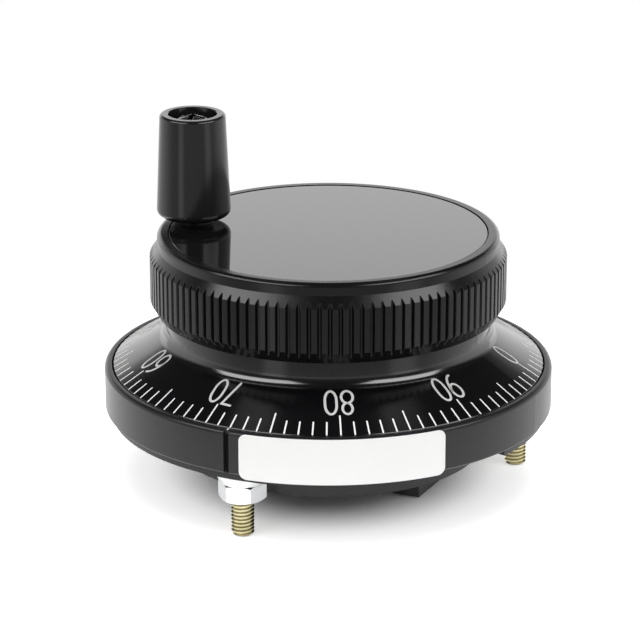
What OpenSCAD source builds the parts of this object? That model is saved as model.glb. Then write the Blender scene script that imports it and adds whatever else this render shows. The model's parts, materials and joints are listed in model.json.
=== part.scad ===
// Panel-mounted manual pulse generator: a knurled handwheel with a graduated dial and a
// turning crank grip, on a ball-bearing shaft that drives a slotted code disc.
// Z = 0 is the face that meets the panel. The wheel is above it, the terminals below.
// Angles are seen from the wheel side, with the index groove at -90 degrees.

/* [Flange] */
// Outer diameter of the fixed flange
flange_d = 60; // [56:0.5:72]
// Height of the flange's full-diameter rim
rim_h = 5.85; // [5:0.05:8]
// Radial wall of the rim around the dial
rim_wall = 0.95; // [0.8:0.05:3]
// Thickness of the smaller step between the rim and the panel
step_h = 1; // [0.8:0.05:3]
// How far the step is set in from the rim
step_inset = 0.8; // [0.4:0.1:2]
// Thickness of the flange floor above the panel face
floor_t = 3; // [2.6:0.1:4]
// Radius of the rounded top edge of the rim
rim_round = 0.55; // [0.2:0.05:0.8]
// Width of the index groove in the rim
index_w = 0.75; // [0.3:0.05:1.2]
// Depth of the index groove
index_depth = 0.4; // [0.1:0.05:0.6]
// Depth of the relief notch at the edge of the panel face
relief_depth = 0.8; // [0.2:0.05:1]
// Angle that the relief notch takes up
relief_angle = 34; // [10:1:60]
// Radial reach of the relief notch
relief_reach = 2.6; // [1:0.1:3]

/* [Dial] */
// Radial running gap between the dial's edge and the rim
dial_gap = 0.2; // [0.1:0.05:0.6]
// Height of the dial's cone
cone_h = 4.25; // [3:0.05:7]
// Height of the dial's edge below the cone
dial_edge_h = 1; // [0.6:0.1:2]
// Wall of the dial's cone, measured upright
cone_wall = 1.4; // [1:0.1:2]
// Height of the neck
neck_h = 3.25; // [2:0.05:6]
// Radius of the fillet between the cone and the neck
neck_fillet = 0.6; // [0.2:0.1:1.2]
// Number of graduations, which is also the number of clicks and pulses in a turn
graduations = 100; // [50:10:100]
// Graduation that stands at the index
reading = 72; // [0:1:99]

/* [Wheel] */
// Diameter over the knurl's crests
knurl_d = 47.4; // [40:0.1:56]
// How far the neck under the knurl is set in from its crests
neck_step = 2; // [1:0.1:3]
// Number of knurl grooves
knurl_count = 110; // [60:1:120]
// Depth of a knurl groove
knurl_depth = 0.45; // [0.2:0.05:0.6]
// Share of the pitch that a groove's mouth takes up
knurl_mouth = 0.54; // [0.3:0.01:0.9]
// Share of the pitch that a groove's floor takes up
knurl_floor = 0.14; // [0.02:0.01:0.28]
// Height of the knurled band between its chamfers
knurl_h = 5.9; // [3:0.1:12]
// Height of the band's lower chamfer
low_chamfer_h = 1.6; // [0.6:0.05:2.5]
// Height of the band's upper chamfer
high_chamfer_h = 1.45; // [0.6:0.05:2.5]
// How far the plain rim above the knurl is set in from its crests
crown_step = 1; // [0.6:0.1:2]
// Height of the plain rim above the knurl
crown_h = 1.6; // [1.4:0.05:3]
// Radius of the rim's rounded top edge
crown_round = 0.6; // [0.2:0.05:0.8]
// Width of the lip that stands around the top disc
crown_lip = 1.45; // [1.2:0.05:3]
// Thickness of the wheel's web under the top disc
web_t = 2.2; // [1.8:0.1:4]
// Wall of the dial's neck around the wheel's spigot
neck_wall = 1.1; // [0.8:0.1:1.6]
// Wall of the wheel's spigot
spigot_wall = 2.4; // [2.4:0.1:3.4]
// Thickness of the glossy top disc
disc_t = 1.2; // [0.8:0.1:2]
// Gap around the top disc, and its depth below the rim's top
disc_gap = 0.08; // [0.04:0.01:0.2]

/* [Crank grip] */
// Distance of the grip's axis in from the top disc's edge
crank_inset = 2.57; // [2.5:0.01:6]
// Graduation that the grip stands over
crank_mark = 50; // [0:1:99]
// Largest diameter of the grip, near its foot
grip_d = 9.9; // [8.4:0.1:12]
// Diameter of the grip at its top
grip_top_d = 8.8; // [8.2:0.1:11]
// Length of the grip
grip_h = 14; // [11:0.5:30]
// Radius of the rounding at the grip's foot
foot_round = 1; // [0.4:0.1:1.2]
// Radius of the rounding at the grip's top
grip_round = 0.4; // [0.2:0.05:0.5]
// Wall of the grip around the recess in its top
grip_wall = 1.15; // [0.6:0.05:1.4]
// Depth of the recess in the grip's top
grip_recess_h = 2.4; // [1.8:0.1:4]
// Diameter of the spindle that the grip turns on
journal_d = 4.2; // [3.6:0.1:4.6]
// Diameter of the spindle's domed head
head_d = 5.3; // [5.2:0.1:6]
// Largest diameter of the washer under the grip
spacer_d = 5.8; // [5:0.1:7]
// Thickness of the washer under the grip
spacer_t = 0.5; // [0.3:0.05:1]

/* [Shaft and bearings] */
// Shaft diameter
shaft_d = 6; // [5:0.1:6]
// Outer diameter of each bearing
bearing_d = 13; // [13:0.1:14]
// Width of each bearing
bearing_w = 5; // [4:0.1:5]
// Diameter of the bearing balls
ball_d = 2; // [1.6:0.05:2]
// Number of balls in each bearing
ball_count = 8; // [6:1:9]
// Distance between the two bearings
bearing_space = 1.5; // [1:0.1:2.5]
// Height of the shaft's collar under the wheel
collar_h = 1; // [0.6:0.1:2]
// Radial wall of the bearing tube
tube_wall = 2.3; // [1.5:0.1:4]

/* [Click mechanism] */
// Diameter of the click ball
click_ball_d = 2; // [1.6:0.1:2.4]
// Width of a click notch
click_notch_w = 0.56; // [0.4:0.02:0.7]
// Thickness of the click ring
click_ring_t = 1.4; // [1.2:0.1:2]
// Angle at which the click ball stands
click_angle = 30; // [0:1:359]

/* [Encoder] */
// Running gap around the code disc's edge
code_gap = 0.3; // [0.2:0.05:1]
// Height of the code disc above the circuit board
code_rise = 2; // [1.6:0.1:3]
// Thickness of the code disc
code_disc_t = 0.2; // [0.1:0.05:0.3]
// Length of a slot in the code disc
slot_l = 1.6; // [1:0.1:2.4]
// Circuit board thickness
board_t = 1.6; // [1:0.1:2]
// Space between the cover and the circuit board
solder_gap = 0.85; // [0.8:0.05:1.5]

/* [Rear boss and terminals] */
// Diameter of the rear boss over its lobes
boss_d = 42; // [41:0.1:44.6]
// Distance from each stud's spot face to the flat of the boss that faces it
boss_gap = 1.2; // [0.4:0.1:2]
// Depth of the rear boss below the panel face
boss_h = 4.65; // [3.8:0.05:5.8]
// Thickness of the rear cover
cover_t = 1.6; // [1.4:0.1:3]
// Wall of the boss
boss_wall = 1.55; // [1.2:0.05:2.5]
// Number of terminals
terminals = 6; // [2:1:6]
// Distance between terminals
terminal_pitch = 5.08; // [5:0.04:5.4]
// Depth of the terminal block, front to back
block_w = 10.6; // [9.6:0.1:12]
// Height of the terminal block below the cover
block_h = 3.9; // [3.6:0.1:8]
// Thickness of a partition between terminals
barrier_t = 1; // [0.8:0.05:1.4]

/* [Mounting studs] */
// Diameter of the circle through the three studs
stud_pcd = 51.1; // [50.4:0.1:52]
// Thread diameter of the studs
stud_d = 3; // [3:0.5:4]
// Thread pitch of the studs
stud_pitch = 0.5; // [0.5:0.05:0.8]
// Length of the studs below the panel face
stud_l = 8.85; // [8.85:0.05:20]
// Nut width across its flats
nut_af = 5.5; // [5.5:0.5:7]
// Nut height
nut_h = 2.4; // [1.8:0.1:3.2]
// Angle that the nuts are turned to
nut_turn = 16; // [0:1:59]
// Outer diameter of the lock washers
washer_d = 6.6; // [6:0.1:6.6]
// Height of the dished lock washers, over their teeth
washer_h = 1.55; // [1.2:0.05:1.8]
// Number of teeth on a lock washer
washer_teeth = 18; // [12:1:24]

/* [Label] */
// Length of the plain label around the rim, in degrees
label_angle = 51.9; // [20:0.1:80]
// Height of the label
label_h = 6.1; // [4:0.1:6.4]
// Thickness of the label
label_t = 0.12; // [0.08:0.01:0.3]
// Distance of the label's top edge below the rim's top
label_drop = 0.1; // [0:0.05:0.5]
// Thickness of the label's glue
glue_t = 0.02; // [0.01:0.01:0.05]
// Radius of the label's corners
label_round = 1; // [0.4:0.1:2]
// Angle of the label's middle
label_middle = -60.7; // [-80:0.1:0]

/* [Hidden] */
$fn = 96;

// Clearances: between fitted pieces, round a thread, round a loose piece, and of a turning bore
fit_gap = 0.02;
thread_gap = 0.02;
loose_gap = 0.1;
running_gap = 0.05;
// Overlap of joined solids, and the run of a cut past a face
eps = 0.01;
past = 1;
// Share of a driver recess's width that each arm takes up
arm_share = 0.22;

// Flange levels
flange_r = flange_d / 2;
rim_top = step_h + rim_h;
rim_in_r = flange_r - rim_wall;
step_r = flange_r - step_inset;
edge_chamfer = 0.25;

// Dial levels
dial_r = rim_in_r - dial_gap;
cone_top = rim_top + cone_h;
neck_r = knurl_d / 2 - neck_step;
band_z = cone_top + neck_h;
grad_step = 360 / graduations;

// Wheel levels
knurl_r = knurl_d / 2;
crown_r = knurl_r - crown_step;
crest_z = band_z + low_chamfer_h;
crest_end = crest_z + knurl_h;
crown_z = crest_end + high_chamfer_h;
wheel_top = crown_z + crown_h;
disc_seat = wheel_top - disc_gap - disc_t;
web_z = disc_seat - web_t;
disc_r = crown_r - crown_lip - disc_gap;
spigot_r = neck_r - neck_wall;
wheel_bore_r = spigot_r - spigot_wall;

// Wheel screw, sunk in the web under the top disc
wheel_washer_t = 0.4;
wheel_washer_r = 3.3;
wheel_screw_r = 1.5;
wheel_screw_l = 5.5;
wheel_head_r = 2.75;
wheel_head_h = 1.3;
wheel_seat = disc_seat - wheel_head_h - wheel_washer_t - 0.2;
hub_r = 6.5;

// Dial screws
dial_screw_r = 1;
dial_head_r = 1.7;
dial_head_h = 0.7;
dial_screw_top = cone_top + 4;
dial_screw_at = spigot_r - spigot_wall / 2;

// Studs
// The free thread is drawn at its crests, and at its pitch radius where a nut or the floor holds it
stud_r = stud_d / 2;
stud_hold_r = stud_r - 0.325 * stud_pitch;
stud_at = stud_pcd / 2;
stud_head_r = stud_r + 0.9;
stud_head_h = 0.8;
spot_r = washer_d / 2 + 0.2;
spot_depth = 0.15;
washer_z = spot_depth - washer_h;
nut_z = washer_z - nut_h;

// Boss and cover
boss_r = boss_d / 2;
boss_flat = stud_at - spot_r - boss_gap;
cavity_r = min(boss_flat, boss_r) - boss_wall;
hat_r = cavity_r + 1.7;
cover_top = cover_t - boss_h;
cover_screw_r = 1.25;
cover_head_r = 2.2;
cover_head_h = 0.9;
cover_sink = 1;
lobe_post_r = 2.3;
lobe_r = cavity_r - lobe_post_r - 0.4;

// Shaft stack, from the cover up
shaft_r = shaft_d / 2;
collar_r = shaft_r + 1;
preload_h = 0.6;
preload_t = 0.2;
circlip_t = 0.5;
circlip_groove = 0.4;
disc_hub_l = 2.32;
board_z = cover_top + solder_gap;
board_top = board_z + board_t;
code_z = board_top + code_rise;
disc_hub_top = code_z + code_disc_t + disc_hub_l;
circlip_z = disc_hub_top + 0.5;
rear_bearing_z = circlip_z + circlip_t + preload_h;
front_bearing_z = rear_bearing_z + bearing_w + bearing_space;
hub_z = front_bearing_z + bearing_w + collar_h;
shaft_end = code_z - 0.8;
flat_depth = 0.5;

// Bearings
bearing_r = bearing_d / 2;
pitch_r = (bearing_r + shaft_r) / 2 + 0.05;
race_gap = 0.03;
race_depth = ball_d * 0.22;
shoulder_w = 0.9;
tube_r = bearing_r + tube_wall;
roof_z = circlip_z + 0.2;
roof_t = 1.6;

// Click mechanism
ring_top = cone_top - cone_wall - 0.2;
ring_z = ring_top - click_ring_t;
click_ball_r = click_ball_d / 2;
click_sink = click_ball_r - sqrt(click_ball_r * click_ball_r - click_notch_w * click_notch_w / 4);
click_ball_z = ring_z - click_ball_r + click_sink - 0.005;
notch_margin = 0.2;
pocket_r = click_ball_r + running_gap;
click_tip_r = pocket_r + 0.45;
click_post_z = board_top + 1.4;
plug_r = 1.5;
plug_h = 1.8;
click_post_r = plug_r + 0.9;
click_r = min(cavity_r - click_post_r - 0.7,
              dial_screw_at - dial_head_r - click_ball_r - notch_margin - 0.3);
ring_in_r = click_r - click_ball_r - notch_margin;
ring_out_r = neck_r - 0.4;
spring_wire = 0.3;
spring_z = click_post_z + plug_h;
spring_h = click_ball_z - click_ball_r - spring_z - fit_gap;

// Encoder
code_disc_r = click_r - click_post_r - code_gap;
slot_r = code_disc_r - 0.6 - slot_l / 2;
disc_boss_r = shaft_r + 0.8;
disc_hub_r = shaft_r + 2.5;
disc_hub_mid = disc_hub_top - disc_hub_l / 2;
hub_screw_r = 0.8;
board_r = cavity_r - 0.3;
sensor_w = 6;
sensor_near = slot_r - 1.7;
sensor_far = code_disc_r + 3.7;
sensor_h = roof_z - board_top - 0.7;
sensor_gap = 0.7;
lead_r = 0.3;

// Terminals
block_top = -boss_h;
block_base_t = 1.2;
block_base_z = block_top - block_base_t;
block_end_t = barrier_t + 0.1;
block_l = terminals * terminal_pitch - barrier_t + 2 * block_end_t;
block_wall_t = 1.4;
lug_t = 0.5;
lug_z = block_base_z - lug_t;
lug_leg_y = -2.7;
lug_leg_r = 0.5;
terminal_y = 1.3;
terminal_screw_r = 1.25;
terminal_head_r = 1.8;
terminal_head_h = 1.3;

// Angles
index_angle = -90;
crank_angle = index_angle + (crank_mark - reading) * grad_step;
lobe_angles = [-30, 90, 210];
relief_middle = -30;
stud_angles = [-90, 30, 150];
dial_screw_angles = [crank_angle + 60, crank_angle + 180, crank_angle + 300];

// Grip
crank_r = disc_r - crank_inset;
disc_top = disc_seat + disc_t;
spacer_top = disc_top + spacer_t;
grip_z = spacer_top + 0.3;
grip_top = grip_z + grip_h;
grip_r = grip_d / 2;
grip_top_r = grip_top_d / 2;
grip_recess_r = grip_top_r - grip_wall;
grip_floor = grip_top - grip_recess_h;
journal_r = journal_d / 2;
grip_bore_r = journal_r + running_gap;
spacer_r = min(spacer_d, 2 * crank_inset + disc_gap) / 2;
crank_thread_r = 1.5;
crank_thread_z = web_z - 4.8;
crank_post_r = 3.8;
spindle_head_r = min(head_d / 2, grip_recess_r - 0.16);
spindle_head_drop = 0.3;
spindle_dome_h = 0.7;

// Points of an arc about (x, y), from angle a to angle b
function arc(x, y, r, a, b, n = 8) =
    [for (i = [0:n]) let (t = a + (b - a) * i / n) [x + r * cos(t), y + r * sin(t)]];

// Place children at a radius and angle about the wheel's axis
module at(r, angle) {
    rotate([0, 0, angle]) translate([r, 0, 0]) children();
}

// A round bar between two levels
module bar(r, z0, z1) {
    translate([0, 0, z0]) cylinder(r = r, h = z1 - z0);
}

// A ring between two levels
module ring(r_in, r_out, z0, z1) {
    difference() {
        bar(r_out, z0, z1);
        bar(r_in, z0 - past, z1 + past);
    }
}

// A block centred on X and Y between two levels
module block(x, y, z0, z1) {
    translate([-x / 2, -y / 2, z0]) cube([x, y, z1 - z0]);
}

// Outline of the rear boss: a circle with a flat facing each stud
module boss_outline() {
    difference() {
        circle(r = boss_r);
        for (a = stud_angles)
            rotate(a) translate([boss_flat, -boss_r]) square([boss_r, 2 * boss_r]);
    }
}

// Cross recess for a screw head, cut from level z down by depth
module cross_slot(size, z, depth) {
    for (a = [0, 90])
        rotate([0, 0, a]) block(size, size * arm_share, z - depth, z + past);
}

module flange_housing() {
    rim = concat([[flange_r - edge_chamfer, step_h], [flange_r, step_h + edge_chamfer]],
                 arc(flange_r - rim_round, rim_top - rim_round, rim_round, 0, 90),
                 [[rim_in_r, rim_top], [rim_in_r, step_h]]);
    color("#1c1c1e") difference() {
        union() {
            rotate_extrude() polygon(rim);
            bar(step_r, 0, step_h);
            bar(flange_r - rim_wall / 2, step_h - eps, floor_t);
            bar(hat_r, floor_t - eps, roof_z + roof_t);
            bar(tube_r, roof_z, front_bearing_z + bearing_w);
            translate([0, 0, cover_top]) linear_extrude(step_h - cover_top) boss_outline();
            at(click_r, click_angle) bar(click_tip_r, roof_z, click_ball_z + click_ball_r / 3);
        }
        difference() {
            bar(cavity_r, cover_top - past, roof_z);
            for (a = lobe_angles) at(lobe_r, a) bar(lobe_post_r, board_top, roof_z + past);
            at(click_r, click_angle) bar(click_post_r, click_post_z, roof_z + past);
        }
        bar(bearing_r + fit_gap, roof_z - past, rear_bearing_z + bearing_w);
        bar(bearing_r - shoulder_w, roof_z, front_bearing_z + past);
        bar(bearing_r + fit_gap, front_bearing_z, front_bearing_z + bearing_w + past);
        for (a = lobe_angles) at(lobe_r, a)
            bar(cover_screw_r + thread_gap, board_top - past, board_top + 4);
        at(click_r, click_angle) {
            bar(plug_r + thread_gap, click_post_z - past, spring_z);
            bar(pocket_r, spring_z - eps, ring_z);
        }
        for (a = stud_angles) at(stud_at, a) {
            bar(stud_hold_r + fit_gap, -past, floor_t);
            bar(stud_head_r + fit_gap, floor_t - stud_head_h, floor_t + past);
            bar(spot_r, -past, spot_depth);
        }
        rotate([0, 0, relief_middle]) relief_notch();
        rotate([0, 0, index_angle]) translate([flange_r - index_depth, -index_w / 2, -past])
            cube([index_depth + past, index_w, rim_top + 2 * past]);
    }
}

// Wedge-shaped notch at the edge of the panel face
module relief_notch() {
    translate([0, 0, -past]) rotate([0, 0, -relief_angle / 2])
        rotate_extrude(angle = relief_angle)
            translate([step_r - relief_reach, 0]) square([relief_reach + past, relief_depth + past]);
}

module label() {
    z0 = rim_top - label_drop - label_h;
    x = label_h / 2 - label_round;
    y = flange_r * sin(label_angle / 2) - label_round;
    outline = concat(arc(x, y, label_round, 0, 90), arc(-x, y, label_round, 90, 180),
                     arc(-x, -y, label_round, 180, 270), arc(x, -y, label_round, 270, 360));
    color("#f4f4f2") intersection() {
        ring(flange_r + glue_t, flange_r + glue_t + label_t, z0 - past, z0 + label_h + past);
        rotate([0, 0, label_middle]) translate([0, 0, z0 + label_h / 2]) rotate([0, 90, 0])
            linear_extrude(flange_r + label_t + past) polygon(outline);
    }
}

module mounting_studs() {
    chamfer = 0.25;
    color("#b9a35a") for (a = stud_angles) at(stud_at, a) {
        bar(stud_head_r, floor_t - stud_head_h, floor_t);
        bar(stud_hold_r, nut_z - eps, floor_t - stud_head_h + eps);
        rotate_extrude() polygon([[0, -stud_l], [stud_r - chamfer, -stud_l],
                                  [stud_r, chamfer - stud_l], [stud_r, nut_z], [0, nut_z]]);
    }
}

// Dished washer with a serrated upper edge that bites into the spot face
module lock_washers() {
    outer_r = washer_d / 2;
    foot_r = nut_af / 2 + 0.25;
    dish_t = 0.5;
    band_h = 0.5;
    tooth_h = 0.3;
    tooth_margin = 0.12;
    edge_z = spot_depth - tooth_h;
    tooth_share = 0.84;
    tooth_w = 2 * PI * (outer_r - dish_t) / washer_teeth * tooth_share;
    bore_r = stud_r + loose_gap;
    color("silver") for (a = stud_angles) at(stud_at, a) {
        rotate_extrude() polygon([[bore_r, washer_z], [foot_r, washer_z], [outer_r, edge_z - band_h],
                                  [outer_r, edge_z], [outer_r - dish_t, edge_z],
                                  [foot_r - dish_t, washer_z + dish_t], [bore_r, washer_z + dish_t]]);
        for (i = [0:washer_teeth - 1]) rotate([0, 0, i * 360 / washer_teeth])
            translate([outer_r - dish_t + tooth_margin / 2, 0, edge_z]) rotate([90, 0, 90])
                linear_extrude(dish_t - tooth_margin)
                    polygon([[-tooth_w / 2, -eps], [tooth_w / 2, -eps], [0, tooth_h]]);
    }
}

module stud_nuts() {
    flat_r = nut_af / 2;
    corner_r = flat_r / cos(30);
    bevel_h = (corner_r - flat_r) * tan(30);
    color("gainsboro") for (a = stud_angles) at(stud_at, a) rotate([0, 0, nut_turn - a]) {
        difference() {
            intersection() {
                translate([0, 0, nut_z]) cylinder(r = corner_r, h = nut_h, $fn = 6);
                rotate_extrude() polygon([[0, nut_z], [flat_r, nut_z],
                                          [corner_r + eps, nut_z + bevel_h],
                                          [corner_r + eps, washer_z - bevel_h],
                                          [flat_r, washer_z], [0, washer_z]]);
            }
            bar(stud_hold_r + thread_gap, nut_z - past, washer_z + past);
        }
    }
}

module rear_cover() {
    lip_h = 0.6;
    lip_t = 0.9;
    color("#18181a") difference() {
        union() {
            translate([0, 0, -boss_h]) linear_extrude(cover_t) boss_outline();
            ring(cavity_r - loose_gap - lip_t, cavity_r - loose_gap, cover_top - eps, cover_top + lip_h);
            for (a = lobe_angles) at(lobe_r, a) bar(lobe_post_r, cover_top - eps, board_z);
        }
        for (a = lobe_angles) at(lobe_r, a) {
            bar(cover_screw_r + loose_gap, -boss_h - past, board_z + past);
            bar(cover_head_r + loose_gap, -boss_h - past, cover_sink - boss_h);
        }
        each_terminal(lug_leg_y) bar(lug_leg_r + loose_gap, -boss_h - past, cover_top + past);
    }
}

// Place children at each terminal, at y across the block
module each_terminal(y) {
    for (i = [0:terminals - 1])
        translate([(i - (terminals - 1) / 2) * terminal_pitch, y, 0]) children();
}

module cover_screws() {
    seat = cover_sink - boss_h;
    color("silver") for (a = lobe_angles) at(lobe_r, a) difference() {
        union() {
            bar(cover_head_r, seat - cover_head_h, seat);
            bar(cover_screw_r, seat - eps, board_top + 3.5);
        }
        mirror([0, 0, 1]) cross_slot(cover_head_r * 1.2, cover_head_h - seat, cover_head_h * 0.6);
    }
}

module terminal_block() {
    barrier_z = block_top - block_h;
    color("#202022") difference() {
        union() {
            block(block_l, block_w, block_base_z, block_top);
            for (i = [1:terminals - 1]) translate([(i - terminals / 2) * terminal_pitch, 0, 0])
                block(barrier_t, block_w, barrier_z, block_base_z + eps);
            for (side = [-1, 1]) translate([side * (block_l - block_end_t) / 2, 0, 0])
                block(block_end_t, block_w, barrier_z, block_base_z + eps);
            translate([0, (block_wall_t - block_w) / 2, 0])
                block(block_l - eps, block_wall_t, barrier_z, block_base_z + eps);
        }
        each_terminal(lug_leg_y) bar(lug_leg_r + loose_gap, block_base_z - past, block_top + past);
        each_terminal(terminal_y)
            bar(terminal_screw_r + thread_gap, block_base_z - past, block_top - 0.2);
    }
}

module terminal_lugs() {
    lug_w = terminal_pitch - barrier_t - 0.4;
    lug_l = 6.4;
    lug_y = -0.3;
    color("#c9b26a") difference() {
        union() {
            each_terminal(lug_y) block(lug_w, lug_l, lug_z, lug_z + lug_t);
            each_terminal(lug_leg_y) bar(lug_leg_r, lug_z + eps, board_top + 0.5);
        }
        each_terminal(terminal_y) bar(terminal_screw_r + loose_gap, lug_z - past, lug_z + lug_t + past);
    }
}

module terminal_screws() {
    color("silver") each_terminal(terminal_y) difference() {
        union() {
            bar(terminal_head_r, lug_z - terminal_head_h, lug_z);
            bar(terminal_screw_r, lug_z - eps, block_top - 0.3);
        }
        mirror([0, 0, 1])
            cross_slot(terminal_head_r * 1.4, terminal_head_h - lug_z, terminal_head_h / 2);
    }
}

module circuit_board() {
    color("#1f6b3a") difference() {
        bar(board_r, board_z, board_top);
        for (a = lobe_angles) at(lobe_r, a)
            bar(cover_screw_r + loose_gap, board_z - past, board_top + past);
        each_terminal(lug_leg_y) bar(lug_leg_r + fit_gap, board_z - past, board_top + past);
        each_lead() bar(lead_r + fit_gap, board_z - past, board_top + past);
    }
}

// Place children at each of the sensor's leads
module each_lead() {
    for (x = [-sensor_w / 3, sensor_w / 3], y = [-sensor_far + 1, -sensor_near - 1])
        translate([x, y, 0]) children();
}

module optical_sensor() {
    slot_z = code_z - sensor_gap;
    slot_top = code_z + code_disc_t + sensor_gap;
    slot_end = code_disc_r + 0.8;
    window_r = 0.7;
    color("#101012") difference() {
        translate([0, -(sensor_near + sensor_far) / 2, 0])
            block(sensor_w, sensor_far - sensor_near, board_top, board_top + sensor_h);
        translate([-sensor_w, -slot_end, slot_z]) cube([2 * sensor_w, slot_end, slot_top - slot_z]);
        translate([0, -slot_r, 0]) bar(window_r, slot_top - past, slot_top + sensor_gap);
    }
}

module sensor_leads() {
    color("silver") each_lead() bar(lead_r, board_z - 0.5, board_top);
}

module line_driver_chip() {
    leads = 8;
    lead_pitch = 1.27;
    body = [9.9, 3.9];
    foot = [0.4, 0.9];
    color("#151517") translate([-8.5, 8, 0]) {
        block(body.x, body.y, board_top + 0.15, board_top + 1.25);
        for (i = [0:leads - 1], side = [-1, 1])
            translate([(i - (leads - 1) / 2) * lead_pitch, side * (body.y + foot.y) / 2 - side * 0.05, 0])
                block(foot.x, foot.y, board_top, board_top + 0.6);
    }
}

module board_capacitors() {
    color("#b58a5a") for (p = [[6, 9], [10, 7.5], [9, -9], [-9, -9]])
        translate(p) block(3.2, 1.6, board_top, board_top + 1);
}

// Outer ring of a ball bearing with its foot at z
module bearing_outer(z) {
    inner_r = pitch_r + ball_d / 2 - race_depth;
    rotate_extrude() difference() {
        translate([inner_r, z]) square([bearing_r - inner_r, bearing_w]);
        translate([pitch_r, z + bearing_w / 2]) circle(r = ball_d / 2 + race_gap);
    }
}

// Inner ring of a ball bearing with its foot at z
module bearing_inner(z) {
    bore_r = shaft_r + fit_gap / 2;
    rotate_extrude() difference() {
        translate([bore_r, z]) square([pitch_r - ball_d / 2 + race_depth - bore_r, bearing_w]);
        translate([pitch_r, z + bearing_w / 2]) circle(r = ball_d / 2 + race_gap);
    }
}

module bearing_balls(z) {
    for (i = [0:ball_count - 1]) at(pitch_r, i * 360 / ball_count)
        translate([0, 0, z + bearing_w / 2]) sphere(r = ball_d / 2);
}

// Ball cage: a thin ring with a round pocket for each ball
module bearing_cage(z) {
    half = ball_d * 0.17;
    margin = bearing_w * 0.18;
    difference() {
        ring(pitch_r - half, pitch_r + half, z + margin, z + bearing_w - margin);
        for (i = [0:ball_count - 1]) rotate([0, 0, i * 360 / ball_count])
            translate([pitch_r - past, 0, z + bearing_w / 2]) rotate([0, 90, 0])
                cylinder(r = ball_d / 2 + running_gap, h = 2 * past);
    }
}

module front_bearing_outer() {
    color("lightsteelblue") bearing_outer(front_bearing_z);
}

module front_bearing_inner() {
    color("lightsteelblue") bearing_inner(front_bearing_z);
}

module front_bearing_balls() {
    color("silver") bearing_balls(front_bearing_z);
}

module front_bearing_cage() {
    color("goldenrod") bearing_cage(front_bearing_z);
}

module rear_bearing_outer() {
    color("lightsteelblue") bearing_outer(rear_bearing_z);
}

module rear_bearing_inner() {
    color("lightsteelblue") bearing_inner(rear_bearing_z);
}

module rear_bearing_balls() {
    color("silver") bearing_balls(rear_bearing_z);
}

module rear_bearing_cage() {
    color("goldenrod") bearing_cage(rear_bearing_z);
}

// Section of the shaft's driving end: a circle with one flat
module drive_section(gap) {
    intersection() {
        circle(r = shaft_r + gap);
        translate([-shaft_d, -shaft_d]) square([shaft_d + shaft_r - flat_depth + gap, 2 * shaft_d]);
    }
}

module shaft() {
    top = wheel_seat - 0.1;
    color("silver") difference() {
        union() {
            bar(shaft_r, shaft_end, hub_z);
            bar(collar_r, hub_z - collar_h, hub_z);
            translate([0, 0, hub_z - eps]) linear_extrude(top - hub_z + eps) drive_section(0);
        }
        ring(shaft_r - circlip_groove, shaft_r + past, circlip_z - fit_gap,
             circlip_z + circlip_t + fit_gap);
        bar(wheel_screw_r + thread_gap, wheel_seat - wheel_screw_l - 1, top + past);
    }
}

// Three-wave spring washer: a closed strip around the shaft
module preload_washer() {
    r_in = shaft_r + 0.15;
    r_out = collar_r;
    swing = (preload_h - preload_t) / 2 - fit_gap / 2;
    middle = rear_bearing_z - preload_h / 2;
    section = [[r_in, -preload_t / 2], [r_out, -preload_t / 2], [r_out, preload_t / 2],
               [r_in, preload_t / 2]];
    steps = 72;
    points = [for (i = [0:steps - 1]) let (a = i * 360 / steps, z = middle + swing * cos(3 * a))
        each [for (c = section) [c.x * cos(a), c.x * sin(a), z + c.y]]];
    faces = [for (i = [0:steps - 1], k = [0:3]) let (j = (i + 1) % steps, m = (k + 1) % 4)
        each [[4 * i + k, 4 * i + m, 4 * j + k], [4 * i + m, 4 * j + m, 4 * j + k]]];
    color("silver") polyhedron(points, faces);
}

module shaft_circlip() {
    opening = 2.4;
    color("#3a3a3c") difference() {
        ring(shaft_r - circlip_groove + fit_gap, collar_r + loose_gap, circlip_z, circlip_z + circlip_t);
        translate([0, -opening / 2, circlip_z - past]) cube([shaft_d, opening, circlip_t + 2 * past]);
    }
}

module code_disc() {
    slot_w = PI * slot_r / graduations;
    color("#9aa0a6") difference() {
        ring(disc_boss_r + fit_gap, code_disc_r, code_z, code_z + code_disc_t);
        for (i = [0:graduations - 1]) rotate([0, 0, i * grad_step])
            translate([slot_r - slot_l / 2, -slot_w / 2, code_z - past])
                cube([slot_l, slot_w, code_disc_t + 2 * past]);
    }
}

module disc_hub() {
    seat = code_z + code_disc_t;
    color("#c7c9cc") difference() {
        union() {
            bar(disc_boss_r, shaft_end + 0.3, seat);
            bar(disc_hub_r, seat, disc_hub_top);
        }
        bar(shaft_r + fit_gap / 2, 0, disc_hub_top + past);
        translate([0, 0, disc_hub_mid]) rotate([0, 90, 0])
            cylinder(r = hub_screw_r + thread_gap, h = disc_hub_r + past);
    }
}

module hub_screw() {
    length = disc_hub_r - shaft_r - 0.2;
    socket_h = 0.8;
    color("#2a2a2c") translate([shaft_r + fit_gap, 0, disc_hub_mid]) rotate([0, 90, 0]) difference() {
        cylinder(r = hub_screw_r, h = length);
        translate([0, 0, length - socket_h]) cylinder(r = hub_screw_r * 0.55, h = 2 * socket_h, $fn = 6);
    }
}

module click_ring() {
    w = click_notch_w;
    notch_l = click_ball_d + 2 * notch_margin;
    color("#a7abb0") difference() {
        ring(ring_in_r, ring_out_r, ring_z, ring_top);
        for (i = [0:graduations - 1]) rotate([0, 0, click_angle + i * grad_step])
            translate([ring_in_r - past, 0, ring_z]) rotate([90, 0, 90])
                linear_extrude(notch_l + past) polygon([[-w, -w / 2], [w, -w / 2], [0, w / 2]]);
        for (a = dial_screw_angles) at(dial_screw_at, a) {
            bar(dial_screw_r + loose_gap, ring_z - past, ring_top + past);
            countersink(running_gap);
        }
    }
}

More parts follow.
